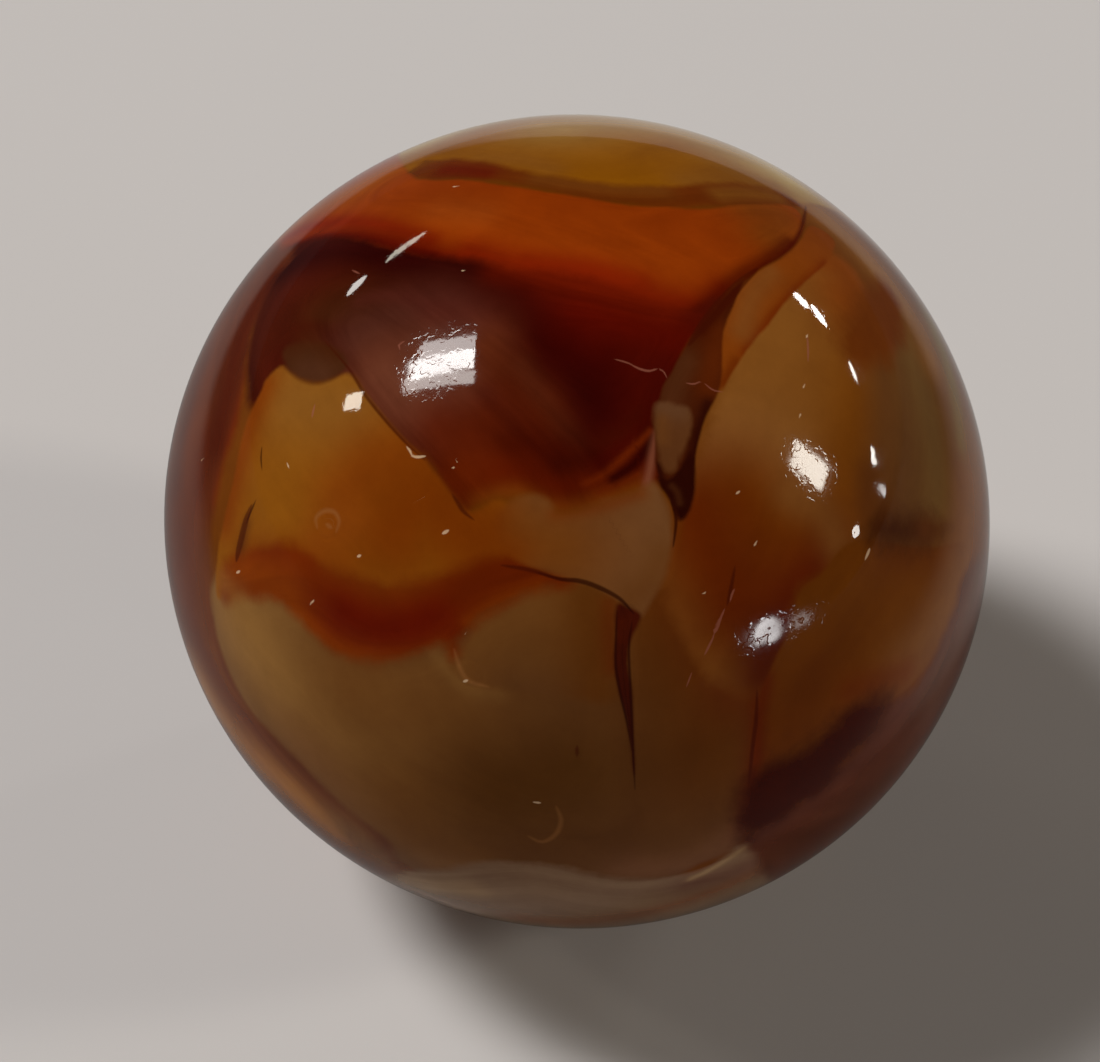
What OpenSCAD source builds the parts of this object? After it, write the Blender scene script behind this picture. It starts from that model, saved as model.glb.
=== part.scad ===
// A swirled glass marble: one solid ball, a little out of round, with the cut-off creases, fold and
// roll line that its making left in the skin, and the moons and flakes of play.
// Places on the skin are polar: "around" counts from the long diameter and "out" from the face.

/* [Ball] */
// Longest diameter, across the face
ball_long = 19.05; // [15.9:0.05:25.4]
// Diameter across the face, square to the longest
ball_wide = 18.75; // [15.6:0.05:25.4]
// Diameter from the face to the back
ball_deep = 18.9; // [15.6:0.05:25.4]
// How far the face leans from straight up, in degrees
face_lean = 42; // [0:1:90]
// Turn of the longest diameter about the face, in degrees
long_turn = -14; // [-90:1:90]

/* [Cut-off creases] */
// Length of the crease on the face along the skin
crease_length = 8.2; // [5:0.1:10]
// Length of its hooked tail
tail_length = 2.8; // [2.4:0.1:4]
// Length of the plain crease at the back
back_crease_length = 7; // [5:0.1:10]
// Width of a crease at its middle
crease_width = 0.42; // [0.2:0.02:0.8]
// Depth of a crease at its middle
crease_depth = 0.05; // [0.02:0.005:0.1]

/* [Fold] */
// Length of the fold, from its blunt end to its tip
fold_length = 4; // [2.5:0.1:6]
// Width of the fold at its blunt end
fold_width = 0.36; // [0.2:0.02:0.6]
// Depth of the fold at its blunt end
fold_depth = 0.06; // [0.02:0.005:0.1]

/* [Roll line] */
// Length of the line that the rollers left
roll_length = 9; // [5:0.1:12]
// Width of the roll line at its middle
roll_width = 0.5; // [0.2:0.02:0.8]
// Depth of the roll line at its middle
roll_depth = 0.03; // [0.01:0.005:0.06]

/* [Wear] */
// Diameter of the flakes knocked out of the skin
flake_width = 0.8; // [0.4:0.05:1.4]
// Depth of the flakes
flake_depth = 0.04; // [0.02:0.005:0.1]
// Diameter of the moons, the ring cracks of a knock, at the middle of their groove
moon_width = 0.6; // [0.4:0.02:1]
// Width of a moon's groove
moon_line = 0.14; // [0.08:0.01:0.2]
// Depth of a moon's groove
moon_depth = 0.03; // [0.01:0.005:0.06]
// Diameter of the pecks
peck_width = 0.26; // [0.1:0.02:0.5]
// Depth of the pecks
peck_depth = 0.03; // [0.01:0.005:0.08]

/* [Hidden] */
ball_r = ball_long / 2;
oval = [1, ball_wide / ball_long, ball_deep / ball_long];
// Paths on the skin: [around, out, heading, bow], where bow is the bend of the path sideways
creasePath = [71, 35, 88, 37];
tailPath = [40, 12, 178, 40];
backCreasePath = [200, 158, 60, 30];
foldPath = [-47, 13, -117, 8];
rollPath = [24, 43, -19, 61];
// Spots on the skin: [around, out]
flakes = [[-16, 29], [25, 21], [-157, 50], [-70, 118]];
moons = [[-165, 33], [-82, 43], [-111, 24], [100, 125]];
pecks = [[171, 21], [-161, 17], [-157, 29], [170, 39], [12, 38], [20, 43], [60, 110], [-20, 140]];
// Spare length of a ring past the place where it fades out, as a factor
ring_spare = 1.1;
// Lean and turn of the ball's own poles and surface seam, which keep them clear of every mark
pole_lean = 70;
seam_turn = 180;
// Facets of a full circle in the quick view
round_fn = 72;

// Radius of the round scoop or crown that is this wide and this deep
function scoopRadius(wide, deep) = (wide * wide / 4 + deep * deep) / (2 * deep);
// Radius of the ring that has its full depth half way and fades out at both ends of its length
function ringRadius(middle_r, length, depth, bow) =
    1 / (1 / middle_r - 8 * depth / (length * length * cos(bow)));

module onSkin(spot) {
    rotate([0, spot[1], spot[0]]) translate([0, 0, ball_r]) children();
}

module ball() {
    rotate([pole_lean, 0, 0]) rotate([0, 0, seam_turn]) sphere(r = ball_r, $fn = round_fn);
}

// A round bar bent along the skin, which scoops a groove that fades out at its ends
module groove(path, length, wide, depth, from = -1, to = 1) {
    bow = path[3];
    scoop_r = scoopRadius(wide, depth);
    core_r = ball_r + scoop_r - depth;
    middle_r = core_r * cos(bow);
    ring_r = ringRadius(middle_r, length, depth, bow);
    reach = length / 2 / abs(ring_r) * 180 / PI * ring_spare;
    rotate([0, path[1], path[0]])
        rotate([0, 0, path[2]])
            rotate([0, bow - 90, 0])
                translate([middle_r - ring_r, 0, core_r * sin(bow)])
                    rotate([0, 0, from * reach])
                        rotate_extrude(angle = (to - from) * reach, $fn = round_fn * 2)
                            translate([ring_r, 0]) circle(r = scoop_r, $fn = round_fn / 2);
}

// A round dish knocked out of the skin
module dish(wide, deep) {
    dish_r = scoopRadius(wide, deep);
    translate([0, 0, dish_r - deep]) sphere(r = dish_r, $fn = round_fn);
}

// A ring crack with a sharp bottom
module moon() {
    rotate_extrude($fn = round_fn)
        translate([moon_width / 2, 0])
            polygon([[-moon_line, moon_depth], [0, -moon_depth], [moon_line, moon_depth]]);
}

module creases() {
    groove(creasePath, crease_length, crease_width, crease_depth);
    groove(tailPath, tail_length, crease_width, crease_depth);
    groove(backCreasePath, back_crease_length, crease_width, crease_depth);
}

module fold() {
    groove(foldPath, 2 * fold_length, fold_width, fold_depth, from = 0);
}

module rollLine() {
    groove(rollPath, roll_length, roll_width, roll_depth);
}

module wear() {
    for (spot = flakes) onSkin(spot) dish(flake_width, flake_depth);
    for (spot = pecks) onSkin(spot) dish(peck_width, peck_depth);
    for (spot = moons) onSkin(spot) moon();
}

module marble() {
    color("peru")
        rotate([face_lean, 0, 0])
            rotate([0, 0, long_turn])
                scale(oval)
                    difference() {
                        ball();
                        creases();
                        fold();
                        rollLine();
                        wear();
                    }
}

marble();
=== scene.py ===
import bmesh
import bpy
import numpy as np
from mathutils import Matrix, Vector


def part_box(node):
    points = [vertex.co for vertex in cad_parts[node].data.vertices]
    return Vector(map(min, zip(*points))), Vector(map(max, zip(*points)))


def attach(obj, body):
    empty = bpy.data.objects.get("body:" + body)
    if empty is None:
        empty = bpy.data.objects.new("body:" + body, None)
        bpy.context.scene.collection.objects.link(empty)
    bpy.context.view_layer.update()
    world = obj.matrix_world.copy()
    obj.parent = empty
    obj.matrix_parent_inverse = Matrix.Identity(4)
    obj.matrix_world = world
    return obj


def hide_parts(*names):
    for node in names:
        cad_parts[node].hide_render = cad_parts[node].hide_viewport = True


print("stage: frame")
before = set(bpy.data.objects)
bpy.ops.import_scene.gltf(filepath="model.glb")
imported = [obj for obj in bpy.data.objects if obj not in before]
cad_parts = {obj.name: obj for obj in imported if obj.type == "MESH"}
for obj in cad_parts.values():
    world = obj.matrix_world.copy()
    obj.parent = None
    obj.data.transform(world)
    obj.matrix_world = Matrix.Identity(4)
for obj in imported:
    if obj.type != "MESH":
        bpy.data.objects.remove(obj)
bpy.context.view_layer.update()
lowCorner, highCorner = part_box("marble")
scene = bpy.context.scene
scene.view_settings.view_transform = "Standard"

# How the camera sees the ball. Places on the front of the ball are pixels of its view.
view = {
    "wide": 1100,
    "high": 1062,
    "ballAcross": 577.0,  # pixel at which the ball's middle shows
    "ballDown": 521.5,
    "ballRadius": 410.0,  # pixels from its middle to its limb
    "lookDown": 48.0,  # degrees below level
    "distance": 8.0,  # from the ball's middle to the camera, in ball radii
    "sensor": 36.0,  # millimetres
}

# The ball's own frame has its longest diameter along x and its face, the side that shows, along z.
ball = {
    "crossShare": 18.75 / 19.05,  # diameter square to the longest, as a share of it
    "depthShare": 18.9 / 19.05,  # diameter from the face to the back
    "faceLean": 42.0,  # degrees that the face leans from straight up
    "longTurn": -14.0,  # degrees that the longest diameter is turned about the face
    "cubeSteps": 104,  # squares along each edge of the cube that the skin is spread from
    "faceZoom": 0.68,  # below 1 crowds the skin's points on the face
    "cutNear": (0.35, 0.12),  # millimetres from a mark within which the skin is cut finer, and again
}


def turnedBy(degrees, axis):
    # The matrix that turns points about one axis
    return np.array(Matrix.Rotation(np.radians(degrees), 3, axis))


ballTurn = turnedBy(ball["faceLean"], "X") @ turnedBy(ball["longTurn"], "Z")
ballShape = np.array([1, ball["crossShare"], ball["depthShare"]])
halfWide = min(highCorner.x, -lowCorner.x)
halfLong = halfWide / np.linalg.norm(ballTurn[0] * ballShape)
ballRadius = halfLong * ball["depthShare"]
semiAxes = ballShape * halfLong
lookDown = np.radians(view["lookDown"])
toEye = np.array([0, -np.cos(lookDown), np.sin(lookDown)])
viewUp = np.array([0, np.sin(lookDown), np.cos(lookDown)])
viewRight = np.array([1.0, 0, 0])
focalPixels = view["ballRadius"] * np.sqrt(view["distance"] ** 2 - 1)
mm = 0.001  # metres


def skinPlace(skin, relief=0):
    # A direction of the ball's own frame, stretched to the oval's axes and lifted by relief (metres)
    lifted = skin * semiAxes * (1 + np.asarray(relief) / ballRadius)[..., None]
    return lifted @ ballTurn.T


def seenAt(pixels):
    # The direction, in the ball's own frame, that shows at each pixel: the ray from the eye through the
    # pixel is squeezed to the frame in which the oval is a unit ball, and meets it at the nearer root
    # of a quadratic. A pixel outside the limb gives the nearest pass of its ray.
    pixels = np.asarray(pixels, float)
    across = (pixels[:, :1] - view["ballAcross"]) / focalPixels * viewRight
    upward = (view["ballDown"] - pixels[:, 1:2]) / focalPixels * viewUp
    ray = (across + upward - toEye) @ ballTurn / semiAxes
    eye = toEye * view["distance"] * ballRadius @ ballTurn / semiAxes
    a = (ray**2).sum(1)
    b = ray @ eye
    c = eye @ eye - 1
    root = np.sqrt(np.maximum(b**2 - a * c, 0))
    met = eye + ray * ((-b - root) / a)[:, None]
    return met / np.linalg.norm(met, axis=1, keepdims=True)


def turnedTo(places):
    # The direction that lies "out" degrees from the face and "around" degrees from the long diameter
    around, out = np.radians(np.asarray(places, float).T)
    return np.stack([np.sin(out) * np.cos(around), np.sin(out) * np.sin(around), np.cos(out)], -1)


def cubeSkin(steps, zoom):
    # Six square grids over a cube, whose lines are at equal angles, pushed out to a sphere. Then the
    # tangent of half the angle from the face is multiplied by zoom.
    line = np.tan(np.linspace(-1, 1, steps + 1) * np.pi / 4)
    a, b = np.meshgrid(line, line, indexing="ij")
    one = np.ones_like(a)
    sides = [(a, b, one), (b, a, -one), (one, a, b), (-one, b, a), (b, one, a), (a, -one, b)]
    points = np.concatenate([np.stack(side, -1).reshape(-1, 3) for side in sides])
    i, j = np.meshgrid(np.arange(steps), np.arange(steps), indexing="ij")
    corner = (i * (steps + 1) + j).ravel()
    square = corner[:, None] + np.array([0, steps + 1, steps + 2, 1])
    squares = np.concatenate([square + side * (steps + 1) ** 2 for side in range(6)])
    _, first, shared = np.unique(points.round(6), axis=0, return_index=True, return_inverse=True)
    points = points[first]
    points /= np.linalg.norm(points, axis=1, keepdims=True)
    near, far = 1 + points[:, 2], zoom**2 * (1 - points[:, 2])
    points[:, :2] *= (2 * zoom / (near + far))[:, None]
    points[:, 2] = (near - far) / (near + far)
    return points, shared.ravel()[squares]


def addNode(tree, kind, settings=None, **inputs):
    # A shader node with its settings, and with each input joined to a socket or given its value
    made = tree.nodes.new("ShaderNode" + kind)
    for name, value in (settings or {}).items():
        setattr(made, name, value)
    for name, value in inputs.items():
        socket = made.inputs[name.replace("_", " ")]
        if isinstance(value, bpy.types.NodeSocket):
            tree.links.new(value, socket)
        else:
            socket.default_value = value
    return made


def kept(tree, name):
    # What is kept under a name for each point of the skin
    return addNode(tree, "Attribute", {"attribute_name": name})


def smoothed(tree, value, low, high, top=1.0, bottom=0.0):
    # A smooth step from the bottom at the low value to the top at the high one
    steps = {"From_Min": low, "From_Max": high, "To_Min": bottom, "To_Max": top}
    return addNode(tree, "MapRange", {"interpolation_type": "SMOOTHSTEP"}, Value=value, **steps).outputs[0]


def mixed(tree, factor, under, over, blend="MIX"):
    # One colour over another; each may be a socket or a colour in light values
    node = addNode(tree, "Mix", {"data_type": "RGBA", "blend_type": blend}, Factor=factor)
    for socket, colour in ((node.inputs[6], under), (node.inputs[7], over)):
        if isinstance(colour, bpy.types.NodeSocket):
            tree.links.new(colour, socket)
        else:
            socket.default_value = (*colour, 1)
    return node.outputs[2]


def math(tree, operation, *values):
    # One sum; each value may be a socket or a number
    node = addNode(tree, "Math", {"operation": operation})
    for socket, value in zip(node.inputs, values):
        if isinstance(value, bpy.types.NodeSocket):
            tree.links.new(value, socket)
        else:
            socket.default_value = value
    return node.outputs[0]


# How the paths on the skin are drawn.
drawing = {
    "curveSteps": 6,  # short lines from one point of a path to the next
    "pointsAtOnce": 20000,  # skin points measured together, to spare memory
    "depthLimit": 4.0,  # an outline's depth stops growing at this many times its softness
    "brushReach": 2.6,  # half widths from its path at which a stroke ends
    "lineReach": 1.0,  # millimetres from its path at which a fine line ends
    "farAway": 9.0,  # millimetres, kept where no fine line is near
    "guideBlend": 0.25,  # millimetres added to the distance from each guide
}


def easyCurve(points, closed):
    # A Catmull-Rom curve through the points, pushed out to the unit ball
    if closed:
        before, start, end, after = (np.roll(points, k, 0) for k in (1, 0, -1, -2))
    else:
        ends = np.vstack([2 * points[0] - points[1], points, 2 * points[-1] - points[-2]])
        before, start, end, after = ends[:-3], ends[1:-2], ends[2:-1], ends[3:]
    t = np.linspace(0, 1, drawing["curveSteps"], endpoint=False)[:, None, None]
    curve = (
        2 * start
        + (end - before) * t
        + (2 * before - 5 * start + 4 * end - after) * t**2
        + (3 * start - before - 3 * end + after) * t**3
    ) / 2
    curve = curve.transpose(1, 0, 2).reshape(-1, 3)
    curve = np.vstack([curve, points[:1] if closed else points[-1:]])
    return curve / np.linalg.norm(curve, axis=1, keepdims=True)


def measured(skin, curve, closed):
    # For each skin point: its distance (mm) to the nearest stretch of the curve, the part of it that is
    # square to the curve, positive on the left as seen from outside, and how far along the curve that
    # stretch lies, from 0 to 1
    start, stretch = curve[:-1], np.diff(curve, axis=0)
    squared = (stretch**2).sum(1)
    side = np.cross(start, stretch)
    side /= np.linalg.norm(side, axis=1, keepdims=True)
    if closed:
        joint = side + np.roll(side, 1, 0)
        joint = np.vstack([joint, joint[:1]])
    else:
        joint = np.vstack([side[:1], side[1:] + side[:-1], side[-1:]])
    apart, aside, along = np.empty((3, len(skin)))
    groups = max(1, len(skin) // drawing["pointsAtOnce"])
    for part in np.array_split(np.arange(len(skin)), groups):
        here = skin[part]
        lean = here @ stretch.T - (start * stretch).sum(1)
        share = (lean / squared).clip(0, 1)
        gap = 2 - 2 * here @ start.T - 2 * share * lean + share**2 * squared
        nearest = gap.argmin(1)
        row = np.arange(len(part))
        share = share[row, nearest]
        foot = start[nearest] + share[:, None] * stretch[nearest]
        normal = np.where((share <= 0)[:, None], joint[nearest], side[nearest])
        normal = np.where((share >= 1)[:, None], joint[nearest + 1], normal)
        away = (here - foot) * ballRadius / mm
        apart[part] = np.linalg.norm(away, axis=1)
        aside[part] = (away * normal).sum(1) / np.linalg.norm(normal, axis=1)
        along[part] = (nearest + share) / len(stretch)
    return apart, aside, along


def placesOf(shape):
    # A path's points as directions: first its pixels on the front, then its places behind the limb. A
    # bare list is all pixels.
    if isinstance(shape, list):
        return seenAt(shape)
    front = seenAt(shape["front"]) if "front" in shape else np.empty((0, 3))
    behind = turnedTo(shape["behind"]) if "behind" in shape else np.empty((0, 3))
    return np.vstack([front, behind])


def capAround(skin, curve, margin):
    # The skin points within a margin (mm) of the smallest cap about the curve's middle, and that middle
    middle = curve.mean(0)
    middle /= np.linalg.norm(middle)
    reach = np.arccos(np.clip(curve @ middle, -1, 1).min()) + margin * mm / ballRadius
    return skin @ middle > np.cos(min(reach, np.pi)), middle


def depthInside(skin, region):
    # How deep each skin point lies inside the region's outline, in units of its edge's softness: half a
    # unit either way is the whole of the blend. It is negative outside.
    limit = drawing["depthLimit"]
    curve = easyCurve(placesOf(region), True)
    near, middle = capAround(skin, curve, limit * region["soft"])
    winding = np.sign((np.cross(curve[:-1], curve[1:]) @ middle).sum())
    depth = np.full(len(skin), -limit)
    apart, aside, _ = measured(skin[near], curve, True)
    depth[near] = (apart * np.sign(aside) * winding / region["soft"]).clip(-limit, limit)
    return depth


def asLight(colour):
    # From a written 0-255 colour to the shader's light values, by the standard curve of a screen
    share = np.array(colour) / 255
    return np.where(share <= 0.04045, share / 12.92, ((share + 0.055) / 1.055) ** 2.4)


def brushed(skin, region):
    # The region's glass at each skin point, with its strokes laid over it. A stroke covers by its strength
    # times e to the minus square of the distance over its half width.
    colours = np.tile(asLight(glass[region["glass"]]), (len(skin), 1))
    for name, width, strength, path in region["strokes"]:
        curve = easyCurve(placesOf(path), False)
        near, _ = capAround(skin, curve, drawing["brushReach"] * width)
        apart, _, _ = measured(skin[near], curve, False)
        cover = strength * np.exp(-((apart / width) ** 2))[:, None]
        colours[near] += (asLight(glass[name]) - colours[near]) * cover
    return colours


# The glass colours, as they look in plain light. Some of them are painted reflection at the limb, painted
# glints or painted shade, as noted below.
glass = {
    "amber": (109, 55, 6),
    "amberPale": (124, 76, 34),
    "amberRed": (101, 47, 7),
    "olive": (101, 60, 26),
    "olivePale": (112, 79, 38),
    "oliveGreen": (120, 92, 34),
    "smudge": (67, 28, 5),
    "smudgeSoft": (92, 46, 14),
    "caramel": (135, 82, 30),
    "caramelWarm": (131, 61, 11),
    "caramelDeep": (124, 66, 8),
    "rosyTan": (127, 76, 31),
    "orangeBrown": (118, 56, 6),
    "emberBrown": (104, 38, 3),
    "redBrown": (99, 29, 3),
    "darkRust": (81, 18, 2),
    "dropBrown": (110, 51, 9),
    "stripEdge": (112, 38, 3),
    "cream": (144, 102, 52),
    "creamTan": (126, 83, 44),
    "creamShade": (114, 71, 30),
    "bellyBrown": (99, 60, 28),
    # a deeper tan, in part painted shade towards the bottom
    "bellyDeepShade": (92, 54, 18),
    "bellyWarm": (101, 54, 14),
    "lobe": (115, 70, 29),
    # limbMauve, limbPale and mauveDeep: at the limb on the front they are painted reflection of the floor;
    # behind the limb they are plain glass colours
    "limbMauve": (92, 47, 32),
    "limbPale": (106, 70, 55),
    "mauveDeep": (83, 40, 22),
    "oxbloodLow": (59, 12, 2),
    "ochre": (135, 78, 6),
    "ochreTan": (130, 78, 22),
    # painted reflection of the floor, pale along the top limb
    "capReflection": (186, 154, 84),
    # painted reflection of the floor along the upper right limb
    "rimReflection": (142, 92, 42),
    "lineBrown": (102, 42, 5),
    "lineRed": (97, 22, 3),
    "lineTan": (107, 55, 13),
    "flame": (144, 55, 5),
    "flameLight": (148, 63, 13),
    "flameRed": (126, 28, 3),
    "emberRed": (108, 22, 2),
    "peach": (150, 74, 14),
    "tanCorner": (129, 62, 11),
    "maroon": (74, 17, 5),
    "oxblood": (44, 3, 2),
    "oxbloodRed": (86, 10, 1),
    "deepRed": (68, 8, 2),
    "plum": (60, 14, 7),
    "swirlBrown": (67, 17, 4),
    "swirlOlive": (71, 30, 9),
    "mauve": (106, 55, 36),
    "mauveGrey": (78, 36, 25),
    "mauveRose": (89, 37, 27),
    "russet": (106, 46, 22),
    "rustDark": (87, 24, 4),
    "wine": (88, 26, 7),
    "wineDeep": (62, 11, 2),
    "rust": (103, 32, 3),
    "rustDeep": (91, 21, 1),
    "rustLight": (118, 52, 8),
    "emberLine": (104, 32, 3),
    "rosyStrip": (124, 66, 44),
    "honey": (139, 81, 14),
    "honeyTan": (136, 86, 30),
    "honeyAmber": (136, 66, 12),
    "honeyOrange": (121, 53, 4),
    "honeyEdge": (126, 56, 5),
    "inclusion": (72, 37, 17),
    "inclusionPale": (80, 44, 25),
    "smile": (112, 36, 2),
    "smileOrange": (128, 53, 4),
    "smileRed": (99, 19, 1),
    "smileBrown": (112, 45, 4),
    "smileDark": (102, 31, 2),
    "smileTan": (140, 80, 32),
    "tongue": (119, 75, 40),
    "tongueTan": (120, 66, 21),
    "tongueDeep": (110, 64, 27),
    "ribbon": (97, 42, 17),
    "ribbonRed": (80, 24, 5),
    "ribbonRust": (108, 35, 3),
    "ribbonTan": (102, 48, 12),
    "ribbonPeach": (166, 104, 42),
    "ribbonLine": (110, 55, 15),
    "crease": (72, 26, 6),
    "creaseGrey": (84, 42, 19),
    "creaseRust": (90, 33, 5),
    "creaseRed": (64, 13, 2),
    "creaseBeige": (97, 55, 26),
    "creasePale": (102, 64, 38),
    "nearBlack": (44, 9, 3),
    "lineDark": (74, 12, 1),
    "scratch": (150, 88, 70),
    "caramelVeil": (146, 98, 50),
    "paleBruise": (158, 104, 56),
    "foldRed": (72, 20, 6),
    # The foot colours below are painted reflection of the floor: pale where it is lit, warm brown where the
    # ball's shadow lies
    "foot": (128, 98, 73),
    "footReflectionPale": (156, 124, 88),
    "footReflectionEdge": (172, 142, 122),
    "footReflectionWarm": (125, 81, 54),
    # pale dust specks, and painted glints
    "glintSpeck": (232, 200, 160),
}

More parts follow.
